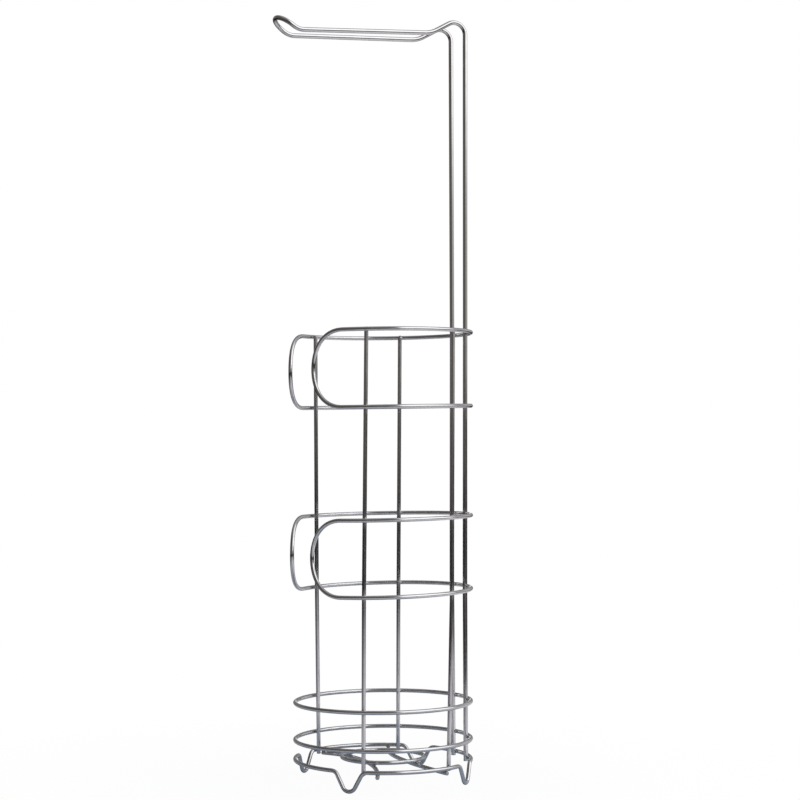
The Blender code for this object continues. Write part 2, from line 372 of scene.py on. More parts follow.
def hanger_corners(side, angles):
    """Corners of one half of the hanger, from the foot of its post to the arm's end."""
    heights = (FOOT_HOOP_Z - UPRIGHT_TAIL, LOWER_COLLAR_Z, UPPER_COLLAR_Z + COLLAR_H)
    corners = [around(POST_REACH, angle, height) for angle, height in zip(angles, heights)]
    run = CREST_RUN - CREST_R
    climb = STAND_H - HANGER_R - CREST_R - SEAT_Z
    slope = atan2(climb, run) + asin(CREST_R / hypot(run, climb))
    tip_z = SEAT_Z - SEAT_DROOP
    return corners + [
        Vector((CREST_X, side * ARM_HALF_GAP, SEAT_Z + CREST_RUN * tan(slope))),
        Vector((SEAT_POST_X, side * ARM_HALF_GAP, SEAT_Z)),
        Vector((SEAT_TIP_X, side * TIP_HALF_GAP, tip_z)),
        Vector((TIP_X, side * TIP_HALF_GAP, tip_z + TIP_LIMB * sin(radians(TIP_SLOPE)))),
    ]


def hanger_path():
    """Up the front post, out along the arm, round its end, and back down the other post."""
    front = hanger_corners(-1, FRONT_POST_ANGLES)
    back = hanger_corners(1, BACK_POST_ANGLES)
    bends = [SLIGHT_BEND_R, SLIGHT_BEND_R, CREST_R, SEAT_BEND_R, TIP_BEND_R, TIP_HALF_GAP]
    return bent(front + back[::-1], bends + bends[::-1])


def wire(node, slot, path, diameter=WIRE_D, closed=False):
    """A wire whose path is moved from the basket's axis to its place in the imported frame."""
    placed = np.array([tuple(point) for point in path])
    placed += (AXIS_X, 0.0, -SETTLE)
    return Wire(node, slot, placed, diameter / 2, closed)


def all_wires():
    """Every wire of the stand, in its place."""
    upper_collar = collar_path("upper_collar", UPPER_COLLAR_Z, UPPER_COLLAR_ENDS, UPPER_COLLAR_SPRING)
    lower_collar = collar_path("lower_collar", LOWER_COLLAR_Z, LOWER_COLLAR_ENDS, LOWER_COLLAR_SPRING)
    upper_hoop = ring_path(HOOP_R, UPPER_HOOP_Z, HOOP_ASKEW_ANGLES["upper_hoop"])
    lower_hoop = ring_path(HOOP_R, LOWER_HOOP_Z, HOOP_ASKEW_ANGLES["lower_hoop"])
    wires = [
        wire("hanger_wire", "hanger_chrome", hanger_path(), HANGER_D),
        wire("upper_collar", "basket_chrome", upper_collar, closed=True),
        wire("lower_collar", "basket_chrome", lower_collar, closed=True),
        wire("upper_hoop", "basket_chrome", upper_hoop, closed=True),
        wire("lower_hoop", "basket_chrome", lower_hoop, closed=True),
        wire("foot_hoop", "foot_chrome", foot_hoop_path(), closed=True),
        wire("floor_arc_left", "foot_chrome", floor_arc_path(-1)),
        wire("floor_arc_right", "foot_chrome", floor_arc_path(1)),
        wire("floor_ring", "foot_chrome", ring_path(FLOOR_RING_R, floor_ring_height()), closed=True),
    ]
    for node, angles in UPRIGHT_ANGLES.items():
        wires.append(wire(node, "basket_chrome", upright_path(angles)))
    return wires


# Distances along a wire


def loop(made):
    """The wire's points, with the first one again at the end of a closed loop."""
    return np.vstack([made.path, made.path[:1]]) if made.closed else made.path


def lengths(points):
    """How far along the run each point lies."""
    return np.concatenate([[0.0], np.cumsum(np.linalg.norm(np.diff(points, axis=0), axis=1))])


def total_length(made):
    """From one end of the wire to the other, or once round a loop."""
    return lengths(loop(made))[-1]


def between(points_a, points_b):
    """Distances from every point of the first set to every point of the second."""
    return np.linalg.norm(points_a[:, None] - points_b[None], axis=2)


def at(made, run):
    """Points at the given distances along the wire."""
    points = loop(made)
    far = lengths(points)
    run = np.mod(run, far[-1]) if made.closed else np.clip(run, 0.0, far[-1])
    return np.stack([np.interp(run, far, points[:, axis]) for axis in range(3)], axis=1)


def heading(made, run):
    """Unit direction of the wire at one distance along it."""
    ends = at(made, np.array([run - WELD_STATION, run + WELD_STATION]))
    step = ends[1] - ends[0]
    return step / np.linalg.norm(step)


# Welds: wherever two wires pass within reach of each other


def nearest_pair(first, second, runs_a, runs_b):
    """The two distances along the wires at which they lie closest, and how far apart that is."""
    apart = between(at(first, runs_a), at(second, runs_b))
    i, j = np.unravel_index(np.argmin(apart), apart.shape)
    return runs_a[i], runs_b[j], apart[i, j]


def grouped(near):
    """Sorts the pairs of coarse steps at which two wires come near into a group for each crossing."""
    groups = []
    for i, j in near:
        for group in groups:
            if any(max(abs(i - k), abs(j - m)) <= SAME_CROSSING_STEPS for k, m in group):
                group.append((i, j))
                break
        else:
            groups.append([(i, j)])
    return groups


def weld_at(first, second, run_a, run_b, distance):
    """The weld at two distances along the wires between which they lie closest."""
    a = at(first, np.array([run_a]))[0]
    b = at(second, np.array([run_b]))[0]
    normal = (b - a) / np.linalg.norm(b - a)
    half_gap = (distance - first.radius - second.radius) / 2
    place = a + normal * (first.radius + half_gap)
    return Weld(first, second, place, normal, heading(first, run_a), heading(second, run_b), half_gap)


def crossings(first, second):
    """Every place where the wires touch, as a weld."""
    reach = first.radius + second.radius + WELD_REACH
    runs_a = np.arange(0.0, total_length(first), COARSE_STEP)
    runs_b = np.arange(0.0, total_length(second), COARSE_STEP)
    apart = between(at(first, runs_a), at(second, runs_b))
    far = SAME_CROSSING_STEPS * COARSE_STEP
    span = np.arange(-far, far, FINE_STEP)
    found = []
    for group in grouped(np.argwhere(apart < reach + COARSE_STEP)):
        i, j = min(group, key=lambda pair: apart[pair])
        run_a, run_b, distance = nearest_pair(first, second, runs_a[i] + span, runs_b[j] + span)
        if distance > reach:
            continue
        weld = weld_at(first, second, run_a, run_b, distance)
        if all(np.linalg.norm(weld.place - other.place) > WIRE_D for other in found):
            found.append(weld)
    return found


def all_welds(wires):
    """The welds of every pair of wires whose boxes meet."""
    welds = []
    margin = WIRE_D + HANGER_D
    for i, first in enumerate(wires):
        for second in wires[i + 1:]:
            low = np.maximum(first.path.min(0), second.path.min(0)) - margin
            high = np.minimum(first.path.max(0), second.path.max(0)) + margin
            if (low < high).all():
                welds += crossings(first, second)
    return welds


# Wire surfaces


def bending(points, spans, closed):
    """How sharply the run turns at each point: one over the bend's radius."""
    ways = np.diff(points, axis=0) / spans[:, None]
    turns = np.arccos(np.clip((ways[1:] * ways[:-1]).sum(1), -1.0, 1.0))
    curve = turns / ((spans[1:] + spans[:-1]) / 2)
    first, last = (curve[-1], curve[0]) if closed else (0.0, 0.0)
    return np.concatenate([[first], curve, [last]])


def spread(points, far, closed):
    """Distances along the run, closer in bends. A chord strays from its arc by length**2 * bending / 8."""
    spans = np.diff(far)
    curve = bending(points, spans, closed)
    density = np.sqrt(np.maximum(curve[1:], curve[:-1]) / (8 * RING_ERROR))
    density = np.maximum(density, 1 / LONGEST_RUN)
    count = np.concatenate([[0.0], np.cumsum(density * spans)])
    rings = ceil(count[-1])
    return np.interp(np.linspace(0.0, count[-1], rings + 1), count, far)


def stations(made, marks):
    """Distances along the wire at which it gets a ring: closer in bends, at welds and at the seam."""
    points = loop(made)
    far = lengths(points)
    total = far[-1]
    wanted = [spread(points, far, made.closed)]
    for mark in marks:
        wanted.append(mark + WELD_STATION * np.arange(-WELD_STATIONS, WELD_STATIONS + 1))
    if made.closed:
        wanted.append(SEAM_STATION * np.arange(SEAM_STATIONS))
        wanted.append(total - SEAM_STATION * np.arange(1, SEAM_STATIONS))
        runs = np.mod(np.concatenate(wanted), total)
    else:
        runs = np.clip(np.concatenate(wanted), END_FILLET, total - END_FILLET)
    runs = np.unique(np.round(runs, RUN_DIGITS))
    keep = [runs[0]]
    for run in runs[1:]:
        if run - keep[-1] > CLOSEST_RINGS:
            keep.append(run)
    if made.closed and total - keep[-1] < CLOSEST_RINGS:
        keep.pop()
    return np.array(keep), total


def frames(points, closed):
    """Headings along a run, and a pair of sideways directions that turn with it and don't twist."""
    if closed:
        ahead = np.roll(points, -1, axis=0) - points
        behind = points - np.roll(points, 1, axis=0)
    else:
        ahead = np.vstack([np.diff(points, axis=0), points[-1:] - points[-2:-1]])
        behind = np.vstack([points[1:2] - points[:1], np.diff(points, axis=0)])
    step_a = np.linalg.norm(ahead, axis=1, keepdims=True)
    step_b = np.linalg.norm(behind, axis=1, keepdims=True)
    way = ahead / step_a * step_b + behind / step_b * step_a
    way /= np.linalg.norm(way, axis=1, keepdims=True)
    side = np.cross(way[0], (0.0, 0.0, 1.0))
    if np.linalg.norm(side) < sin(radians(NEARLY_UPRIGHT)):
        side = np.cross(way[0], (0.0, 1.0, 0.0))
    side /= np.linalg.norm(side)
    sides = [side]
    for after in way[1:]:
        side = side - after * (side @ after)
        side /= np.linalg.norm(side)
        sides.append(side)
    sides = np.array(sides)
    if closed:
        last = side - way[0] * (side @ way[0])
        last /= np.linalg.norm(last)
        twist = atan2(np.cross(sides[0], last) @ way[0], sides[0] @ last)
        share = np.arange(len(points)) / len(points)
        turn = -twist * share[:, None]
        sides = sides * np.cos(turn) + np.cross(way, sides) * np.sin(turn)
    return way, sides, np.cross(way, sides)


def flattened(offsets, points, radius, way, closed):
    """Draws each ring in along the bend's own plane, more in a tighter bend."""
    if closed:
        turn = np.roll(way, -1, axis=0) - np.roll(way, 1, axis=0)
        span = np.linalg.norm(np.roll(points, -1, axis=0) - np.roll(points, 1, axis=0), axis=1)
    else:
        turn = np.gradient(way, axis=0) * 2
        span = np.linalg.norm(np.gradient(points, axis=0) * 2, axis=1)
    curve = np.linalg.norm(turn, axis=1) / span
    amount = np.minimum(curve * radius * BEND_FLATTENS_SHARE, BEND_FLATTENS_MOST_SHARE)
    inward = turn / np.maximum(np.linalg.norm(turn, axis=1, keepdims=True), SAME_POINT**2)
    depth = (offsets * inward[:, None]).sum(2)
    return offsets - inward[:, None] * (depth * amount[:, None])[:, :, None]


def nearest_run(made, runs, place):
    """Which of these distances along the wire comes closest to a place."""
    return runs[np.argmin(np.linalg.norm(at(made, runs) - place, axis=1))]


def mark_of(made, place):
    """The distance along the wire of the point of it that lies nearest to a place."""
    coarse = nearest_run(made, np.arange(0.0, total_length(made), WELD_STATION), place)
    return nearest_run(made, coarse + np.linspace(-WELD_STATION, WELD_STATION, MARK_STEPS), place)


def new_mesh(name, verts, faces, heat, rod):
    """A smooth mesh that holds how near a weld each point is, and its place along the straightened wire."""
    mesh = bpy.data.meshes.new(name)
    mesh.from_pydata([tuple(v) for v in verts], [], faces)
    mesh.validate()
    mesh.shade_smooth()
    mesh.attributes.new("weld_heat", "FLOAT", "POINT").data.foreach_set("value", np.asarray(heat, np.float32))
    along = mesh.attributes.new("straightened", "FLOAT_VECTOR", "POINT")
    along.data.foreach_set("vector", np.asarray(rod, np.float32).ravel())
    made = bpy.data.objects.new(name, mesh)
    bpy.context.scene.collection.objects.link(made)
    return made


def heat_at(points, welds):
    """1 in a weld, fading out over the halo round it."""
    if not welds:
        return np.zeros(len(points))
    places = np.array([weld.place for weld in welds])
    apart = between(points, places).min(axis=1)
    return np.exp(-((apart / WELD_HALO) ** 2))


def ring_angles():
    """Where the points of a ring lie round the wire, in radians."""
    return np.linspace(0.0, 2 * pi, SIDES, endpoint=False)


def round_offsets(radius, side, up):
    """From the centreline to the points of each ring, on a plain round wire."""
    cosines = np.cos(ring_angles())[None, :, None]
    sines = np.sin(ring_angles())[None, :, None]
    return radius * (cosines * side[:, None] + sines * up[:, None])


def with_flats(offsets, made, own, marks, runs, total):
    """Presses the electrodes' flats into the rings, across from each weld."""
    for weld, mark in zip(own, marks):
        out = -weld.normal if weld.first is made else weld.normal
        apart = np.abs(runs - mark)
        apart = np.minimum(apart, total - apart) if made.closed else apart
        limit = made.radius - FLAT_DEPTH * np.maximum(1 - (apart / FLAT_HALF) ** 2, 0.0)
        over = np.maximum((offsets * out).sum(2) - limit[:, None], 0.0)
        over[apart >= FLAT_HALF] = 0.0
        offsets = offsets - over[:, :, None] * out
    return offsets


def with_seam(offsets, radius, runs, total):
    """Raises the rings of a closed wire in a ridge on either side of the seam."""
    apart = np.minimum(runs, total - runs)
    ridge = SEAM_RIDGE * np.exp(-(((apart - SEAM_RIDGE_AT) / SEAM_RIDGE_WIDTH) ** 2))
    return offsets * (1 + ridge / radius)[:, None, None]


def straightened(radius, runs):
    """The points of each ring on the same wire laid out straight."""
    across = radius * np.cos(ring_angles())
    up = radius * np.sin(ring_angles())
    return [np.stack([across, up, np.full(SIDES, run)], 1) for run in runs]


def with_ends(rings, rods, points, way, radius):
    """Adds the rings that round over both ends of an open wire."""
    first = []
    last = []
    for step in range(1, END_STEPS + 1):
        turn = pi / 2 * step / END_STEPS
        shift = END_FILLET * sin(turn)
        shrink = 1 - END_FILLET * (1 - cos(turn)) / radius
        first.append((points[0] + (rings[0] - points[0]) * shrink - way[0] * shift, rods[0]))
        last.append((points[-1] + (rings[-1] - points[-1]) * shrink + way[-1] * shift, rods[-1]))
    rings = [ring for ring, _ in first[::-1]] + rings + [ring for ring, _ in last]
    rods = [rod for _, rod in first[::-1]] + rods + [rod for _, rod in last]
    return rings, rods


def band(low, high, sides):
    """The faces between two rings, given by the number of each ring's first point."""
    faces = []
    for j in range(sides):
        k = (j + 1) % sides
        faces.append((low + j, low + k, high + k, high + j))
    return faces


def tip_faces(count):
    """The faces of the two tips, which are the points after the last of this many rings."""
    first_tip = count * SIDES
    last_ring = first_tip - SIDES
    faces = []
    for j in range(SIDES):
        k = (j + 1) % SIDES
        faces.append((first_tip, k, j))
        faces.append((first_tip + 1, last_ring + j, last_ring + k))
    return faces


def closed_surface(rings, rods):
    """Points, straightened points and faces of a closed wire."""
    count = len(rings)
    faces = []
    for ring in range(count):
        faces += band(ring * SIDES, (ring + 1) % count * SIDES, SIDES)
    return np.concatenate(rings), np.concatenate(rods), faces


def open_surface(rings, rods, points, way, runs, radius):
    """Points, straightened points and faces of an open wire with its rounded ends."""
    rings, rods = with_ends(rings, rods, points, way, radius)
    dome = END_FILLET + END_DOME
    tips = np.array([points[0] - way[0] * dome, points[-1] + way[-1] * dome])
    rod_tips = [(0.0, 0.0, runs[0]), (0.0, 0.0, runs[-1])]
    count = len(rings)
    faces = []
    for ring in range(count - 1):
        faces += band(ring * SIDES, (ring + 1) * SIDES, SIDES)
    faces += tip_faces(count)
    return np.vstack([*rings, tips]), np.vstack([*rods, rod_tips]), faces


def wire_surface(made, own):
    """Points, straightened points and faces of a finished wire with these welds on it."""
    marks = [mark_of(made, weld.place) for weld in own]
    runs, total = stations(made, marks)
    points = at(made, runs)
    way, side, up = frames(points, made.closed)
    offsets = flattened(round_offsets(made.radius, side, up), points, made.radius, way, made.closed)
    offsets = with_flats(offsets, made, own, marks, runs, total)
    rods = straightened(made.radius, runs)
    if made.closed:
        offsets = with_seam(offsets, made.radius, runs, total)
        return closed_surface(list(points[:, None] + offsets), rods)
    return open_surface(list(points[:, None] + offsets), rods, points, way, runs, made.radius)


def add_wire(made, welds, materials):
    """The finished wire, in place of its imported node. The feet are flat where they meet the ground."""
    own = [weld for weld in welds if made is weld.first or made is weld.second]
    verts, rod, faces = wire_surface(made, own)
    if made.node == "foot_hoop":
        verts[:, 2] = np.maximum(verts[:, 2], 0.0)
    piece = new_mesh(f"plated_{made.node}", verts, faces, heat_at(verts, own), rod)
    piece.data.materials.append(materials[made.slot])
    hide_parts(made.node)
    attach(piece, "root")


# Welds between the wires


def bead_reach(angle, along, across):
    """How far an oval of these half axes reaches in a direction."""
    return along * across / np.hypot(across * np.cos(angle), along * np.sin(angle))


def bead_rows(weld, random):
    """Rows of points of one weld: sunk in the first wire, out along the fillet, and into the second."""
    first_way = weld.along - weld.normal * (weld.along @ weld.normal)
    first_way /= np.linalg.norm(first_way)
    other_way = np.cross(weld.normal, first_way)
    turned = atan2(weld.across @ other_way, weld.across @ first_way)
    angle = np.linspace(0.0, 2 * pi, BEAD_POINTS, endpoint=False)
    lump = 1 + BEAD_VARIES_SHARE * (
        random.uniform(-1, 1)
        + BEAD_LEANS_SHARE * np.sin(angle + random.uniform(0, 2 * pi))
        + BEAD_LOBES_SHARE * np.sin(BEAD_LOBES * angle + random.uniform(0, 2 * pi))
    )
    out = np.cos(angle)[:, None] * first_way + np.sin(angle)[:, None] * other_way
    reach_a = bead_reach(angle, BEAD_ALONG, BEAD_ACROSS) * lump
    reach_b = bead_reach(angle - turned, BEAD_ALONG, BEAD_ACROSS) * lump
    radius_a = weld.first.radius
    radius_b = weld.second.radius
    drop_a = radius_a - np.sqrt(radius_a**2 - (reach_a * np.sin(angle)) ** 2)
    drop_b = radius_b - np.sqrt(radius_b**2 - (reach_b * np.sin(angle - turned)) ** 2)
    level_a = -weld.half_gap - drop_a
    level_b = weld.half_gap + drop_b
    rows = [(reach_a * (1 - BEAD_WAIST_SHARE), level_a - BEAD_SUNK)]
    for step in range(BEAD_ROWS + 1):
        share = step / BEAD_ROWS
        reach = reach_a * (1 - share) + reach_b * share
        level = level_a * (1 - share) + level_b * share
        rows.append((reach * (1 - BEAD_WAIST_SHARE * sin(pi * share)), level))
    rows.append((reach_b * (1 - BEAD_WAIST_SHARE), level_b + BEAD_SUNK))
    return [weld.place + out * reach[:, None] + weld.normal * level[:, None] for reach, level in rows]


def add_beads(owner, slot, welds, materials):
    """All the welds along one hoop, collar or ring, as one piece."""
    verts = []
    faces = []
    for number, weld in enumerate(welds):
        rows = bead_rows(weld, Random(f"{owner} {number}"))
        base = len(verts)
        for row in rows:
            verts += list(row)
        top = len(verts) - BEAD_POINTS
        for low in range(base, top, BEAD_POINTS):
            faces += band(low, low + BEAD_POINTS, BEAD_POINTS)
        faces.append(tuple(base + j for j in reversed(range(BEAD_POINTS))))
        faces.append(tuple(top + j for j in range(BEAD_POINTS)))
    piece = new_mesh(f"welds_{owner}", verts, faces, np.ones(len(verts)), verts)
    piece.data.materials.append(materials[slot])
    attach(piece, "root")


def weld_owner(weld):
    """A weld belongs to the hoop, collar or ring that it ties in."""
    names = {weld.first.node, weld.second.node}
    return next(name for name in WELD_OWNERS if name in names)


def add_all_beads(wires, welds, materials):
    """Sorts the welds by the wire that they belong to, and gives them its finish."""
    slots = {made.node: made.slot for made in wires}
    owned = {}
    for weld in welds:
        owned.setdefault(weld_owner(weld), []).append(weld)
    for owner, group in owned.items():
        add_beads(owner, slots[owner], group, materials)


# Shader nodes


# Sockets of a Mix node for colours
FIRST_COLOUR = 6
SECOND_COLOUR = 7
MIXED_COLOUR = 2

NOISE_ROUGHNESS = 0.55
WHITE = (1.0, 1.0, 1.0)


def add_node(tree, kind, inputs=None, **settings):
    """A node with its settings and its plain input values."""
    made = tree.nodes.new(kind)
    for key, value in settings.items():
        setattr(made, key, value)
    for key, value in (inputs or {}).items():
        made.inputs[key].default_value = value
    return made


def feed(tree, socket, value):
    """Links another node's output to a socket, or sets a number or a colour on it."""
    if isinstance(value, bpy.types.NodeSocket):
        tree.links.new(value, socket)
    elif isinstance(value, tuple):
        socket.default_value = (*value, 1.0)
    else:
        socket.default_value = value


def math_node(tree, operation, first, second):
    made = add_node(tree, "ShaderNodeMath", operation=operation)
    feed(tree, made.inputs[0], first)
    feed(tree, made.inputs[1], second)
    return made.outputs["Value"]


def times(tree, first, second):
    return math_node(tree, "MULTIPLY", first, second)


def plus(tree, first, second):
    return math_node(tree, "ADD", first, second)


def dot_with(tree, vector, fixed):
    """How far a vector points the fixed way."""
    made = add_node(tree, "ShaderNodeVectorMath", {1: fixed}, operation="DOT_PRODUCT")
    tree.links.new(vector, made.inputs[0])
    return made.outputs["Value"]


def length_of(tree, vector):
    made = add_node(tree, "ShaderNodeVectorMath", operation="LENGTH")
    tree.links.new(vector, made.inputs[0])
    return made.outputs["Value"]


def separate_z(tree, vector):
    made = add_node(tree, "ShaderNodeSeparateXYZ")
    tree.links.new(vector, made.inputs["Vector"])
    return made.outputs["Z"]


def noise(tree, vector, scale, detail):
    made = add_node(
        tree, "ShaderNodeTexNoise", {"Scale": scale, "Detail": detail, "Roughness": NOISE_ROUGHNESS}
    )
    tree.links.new(vector, made.inputs["Vector"])
    return made.outputs["Fac"]


def ranged(tree, value, span, to_low=0.0, to_high=1.0, easing="LINEAR"):
    """Turns the span from its first to its second value into the range between the two new ones."""
    low, high = span
    made = add_node(
        tree,
        "ShaderNodeMapRange",
        {"From Min": low, "From Max": high, "To Min": to_low, "To Max": to_high},
        interpolation_type=easing,
    )
    tree.links.new(value, made.inputs["Value"])
    return made.outputs["Result"]


def eased(tree, value, span, to_low=0.0, to_high=1.0):
    """The same as ranged, with soft ends."""
    return ranged(tree, value, span, to_low, to_high, "SMOOTHSTEP")


def mixed(tree, share, first, second, blend="MIX"):
    """A blend of two colours, each plain or from another node."""
    made = add_node(tree, "ShaderNodeMix", data_type="RGBA", blend_type=blend)
    feed(tree, made.inputs["Factor"], share)
    feed(tree, made.inputs[FIRST_COLOUR], first)
    feed(tree, made.inputs[SECOND_COLOUR], second)
    return made.outputs[MIXED_COLOUR]


def tinted(tree, first, second):
    """One colour multiplied by another."""
    return mixed(tree, 1.0, first, second, "MULTIPLY")


def ramp(tree, value, tones):
    """A colour that passes through these tones as the value passes their places."""
    made = add_node(tree, "ShaderNodeValToRGB")
    stops = made.color_ramp.elements
    while len(stops) < len(tones):
        stops.new(1.0)
    for stop, (where, colour) in zip(stops, tones):
        stop.position = where
        stop.color = (*colour, 1.0)
    tree.links.new(value, made.inputs["Fac"])
    return made.outputs["Color"]


# Plating


# The material of each slot: its name, its clear and its cloudy colour, and how rough each of these is
PLATINGS = {
    "hanger_chrome": ("chrome_hanger", (0.80, 0.80, 0.805), (0.74, 0.74, 0.75), 0.05, 0.10),
    "basket_chrome": ("chrome_basket", (0.78, 0.78, 0.79), (0.71, 0.71, 0.73), 0.06, 0.12),
    "foot_chrome": ("chrome_foot", (0.75, 0.75, 0.76), (0.66, 0.66, 0.68), 0.08, 0.15),
}

# Patterns: their cells in a metre and their finer layers. The drawing lines are drawn out along the wire
LINES_SCALE = 4200.0
LINES_LAYERS = 2.0
LINES_DRAWN_OUT_SHARE = 0.02
CLOUD_SCALE = 95.0
CLOUD_LAYERS = 4.0
GRAIN_SCALE = 1500.0
GRAIN_LAYERS = 2.0

# Colour: where the clouds show, and the brown of the welds' heat
CLOUD_SPAN = (0.35, 0.70)
SCORCHED = (0.36, 0.335, 0.32)
SCORCH_SPAN = (0.12, 0.60)
SCORCH_MOST_SHARE = 0.75

# Roughness: of the clouds, and what the lines, the welds and the worn undersides of the feet add
SHEEN_SPAN = (0.30, 0.72)
LINES_SPAN = (0.40, 0.75)
LINES_DULL = 0.06
WELDS_DULL = 0.24
FEET_DULL = 0.22
FEET_DULL_H = 0.0022
WEAR_SPAN = (0.35, 0.65)
WEAR_LEAST_SHARE = 0.4

# Relief of the lines and the grain
GRAIN_RELIEF_SHARE = 0.6
RELIEF_STRENGTH = 0.03
RELIEF_DEPTH = 0.00001


def plating_patterns(tree, place):
    """Fine lines along the wire, clouds and a fine grain."""
    rod = add_node(tree, "ShaderNodeAttribute", attribute_name="straightened").outputs["Vector"]
    stretch = add_node(tree, "ShaderNodeMapping", {"Scale": (1.0, 1.0, LINES_DRAWN_OUT_SHARE)})
    tree.links.new(rod, stretch.inputs["Vector"])
    lines = noise(tree, stretch.outputs["Vector"], LINES_SCALE, LINES_LAYERS)
    cloud = noise(tree, place, CLOUD_SCALE, CLOUD_LAYERS)
    grain = noise(tree, place, GRAIN_SCALE, GRAIN_LAYERS)
    return lines, cloud, grain


def chrome(name, clear, cloudy, clear_rough, cloudy_rough):
    """Nickel-chrome plating: clear with cloudy patches, faint drawing lines, duller round the welds."""
    material = bpy.data.materials.new(name)
    material.use_nodes = True
    tree = material.node_tree
    shader = tree.nodes["Principled BSDF"]
    shader.inputs["Metallic"].default_value = 1.0
    place = add_node(tree, "ShaderNodeTexCoord").outputs["Object"]
    heat = add_node(tree, "ShaderNodeAttribute", attribute_name="weld_heat").outputs["Fac"]
    lines, cloud, grain = plating_patterns(tree, place)

    plated = mixed(tree, ranged(tree, cloud, CLOUD_SPAN), clear, cloudy)
    scorch = ranged(tree, times(tree, heat, grain), SCORCH_SPAN, 0.0, SCORCH_MOST_SHARE)
    tree.links.new(mixed(tree, scorch, plated, SCORCHED), shader.inputs["Base Color"])

    sheen = ranged(tree, cloud, SHEEN_SPAN, clear_rough, cloudy_rough)
    drawn = ranged(tree, lines, LINES_SPAN, 0.0, LINES_DULL)
    dull = times(tree, heat, WELDS_DULL)
    feet = ranged(tree, separate_z(tree, place), (0.0, FEET_DULL_H), FEET_DULL, 0.0)
    worn = times(tree, feet, ranged(tree, grain, WEAR_SPAN, WEAR_LEAST_SHARE, 1.0))
    total = plus(tree, plus(tree, sheen, drawn), plus(tree, dull, worn))
    tree.links.new(total, shader.inputs["Roughness"])

    relief = plus(tree, lines, times(tree, grain, GRAIN_RELIEF_SHARE))
    bump = add_node(tree, "ShaderNodeBump", {"Strength": RELIEF_STRENGTH, "Distance": RELIEF_DEPTH})
    tree.links.new(relief, bump.inputs["Height"])
    tree.links.new(bump.outputs["Normal"], shader.inputs["Normal"])
    return material


# Studio


# Camera: where it stands, which way it looks, and its lens and shift
EYE = (-0.5802, -1.5799, 0.2921)
AHEAD = (0.3502, 0.9367, 0.0)
SENSOR_WIDTH = 36.0
LENS = 88.875
SHIFT_RIGHT = 0.02125
SHIFT_UP = 0.04625

# Lamp: its place, the point that it faces, its side and its power
LAMP_PLACE = (0.95, -0.85, 1.80)
LAMP_AIM = (0.0, 0.0, 0.2)
LAMP_SIZE = 1.2
LAMP_POWER = 14.0

# Sheet on the ground. Close to the stand the eye sees a little of its shadow, and further out none.
# Its painted light runs across the view between two distances from the middle
FLOOR_RADIUS = 8.0
FLOOR_SIDES = 128
FLOOR_ROUGHNESS = 0.9
FLOOR_WHITE_FROM = 0.10
FLOOR_WHITE_AT = 0.45
FLOOR_NEAR_WHITE_SHARE = 0.97
FLOOR_PAINTED_LIGHT_SPAN = (-0.60, 1.40)

# Level directions: to the right of the view, towards the bright wall and along it
RIGHT_OF_VIEW = (AHEAD[1], -AHEAD[0], 0.0)
WALL_WAY = (0.6884, -0.7254, 0.0)
ALONG_WALL = (-WALL_WAY[1], WALL_WAY[0], 0.0)

# The room grows brighter to the right and ahead of the view. The spans are cosines of the angles to these
RIGHT_SPAN = (0.05, 0.60)
AHEAD_SPAN = (0.20, 0.80)
RIGHT_GAIN = (3.70, 3.85, 4.30)
AHEAD_GAIN = (1.70, 1.80, 2.00)
AHEAD_RIGHT_GAIN = (4.50, 4.90, 5.60)
BACKDROP_SPAN = (0.990, 0.998)

# Wall: how far a direction must point towards it to meet it, and its soft edges in shares of the
# distance to it
WALL_FACING = 0.02
WALL_LEFT_SPAN = (-0.92, -0.78)
WALL_RIGHT_SPAN = (0.75, 1.10)
WALL_TOP_SPAN = (1.9, 3.2)

# Tones by the sine of a direction's height: 0 is the horizon, and 1 is straight overhead
ROOM_TONES = (
    (0.00, (0.088, 0.082, 0.075)),
    (0.04, (0.112, 0.103, 0.093)),
    (0.12, (0.115, 0.104, 0.092)),
    (0.35, (0.110, 0.099, 0.088)),
    (0.50, (0.078, 0.070, 0.064)),
    (0.64, (0.112, 0.103, 0.095)),
    (0.77, (0.105, 0.099, 0.094)),
    (0.86, (0.200, 0.194, 0.190)),
    (1.00, (0.370, 0.366, 0.362)),
)
WALL_TONES = (
    (0.000, (0.030, 0.032, 0.020)),
    (0.010, (0.060, 0.062, 0.050)),
    (0.024, (0.330, 0.332, 0.320)),
    (0.090, (0.360, 0.360, 0.350)),
    (0.125, (0.400, 0.400, 0.400)),
    (0.190, (1.300, 1.280, 1.300)),
    (0.450, (1.330, 1.310, 1.320)),
    (0.700, (1.380, 1.370, 1.350)),
    (0.800, (1.300, 1.290, 1.270)),
    (0.950, (1.120, 1.120, 1.100)),
)

# Tones of the sheet, all painted light and shade that the metal mirrors: from the left of the view to its
# right, painted light that is brighter to the right, and from the stand out to the sheet's edge, a bluish
# painted shadow close round the stand, then painted shade that darkens it further out
FLOOR_PAINTED_LIGHT_ACROSS = (
    (0.05, (0.32, 0.32, 0.34)),
    (0.18, (0.68, 0.68, 0.71)),
    (0.35, (0.72, 0.72, 0.74)),
    (0.41, (0.99, 0.97, 0.99)),
    (0.55, (0.98, 0.96, 0.98)),
    (0.80, (0.80, 0.78, 0.80)),
)
# Painted shadow, bluish, close round the stand, and painted shade further out
FLOOR_PAINTED_SHADE_OUTWARD = (
    (0.008, (0.54, 0.62, 0.71)),
    (0.018, (0.65, 0.74, 0.84)),
    (0.035, (1.00, 1.01, 1.02)),
    (0.055, (1.00, 1.00, 1.00)),
    (0.075, (0.83, 0.83, 0.84)),
    (0.130, (0.74, 0.74, 0.75)),
    (0.170, (0.60, 0.59, 0.60)),
    (0.220, (0.11, 0.10, 0.10)),
    (0.320, (0.09, 0.09, 0.09)),
    (0.550, (0.18, 0.17, 0.17)),
)


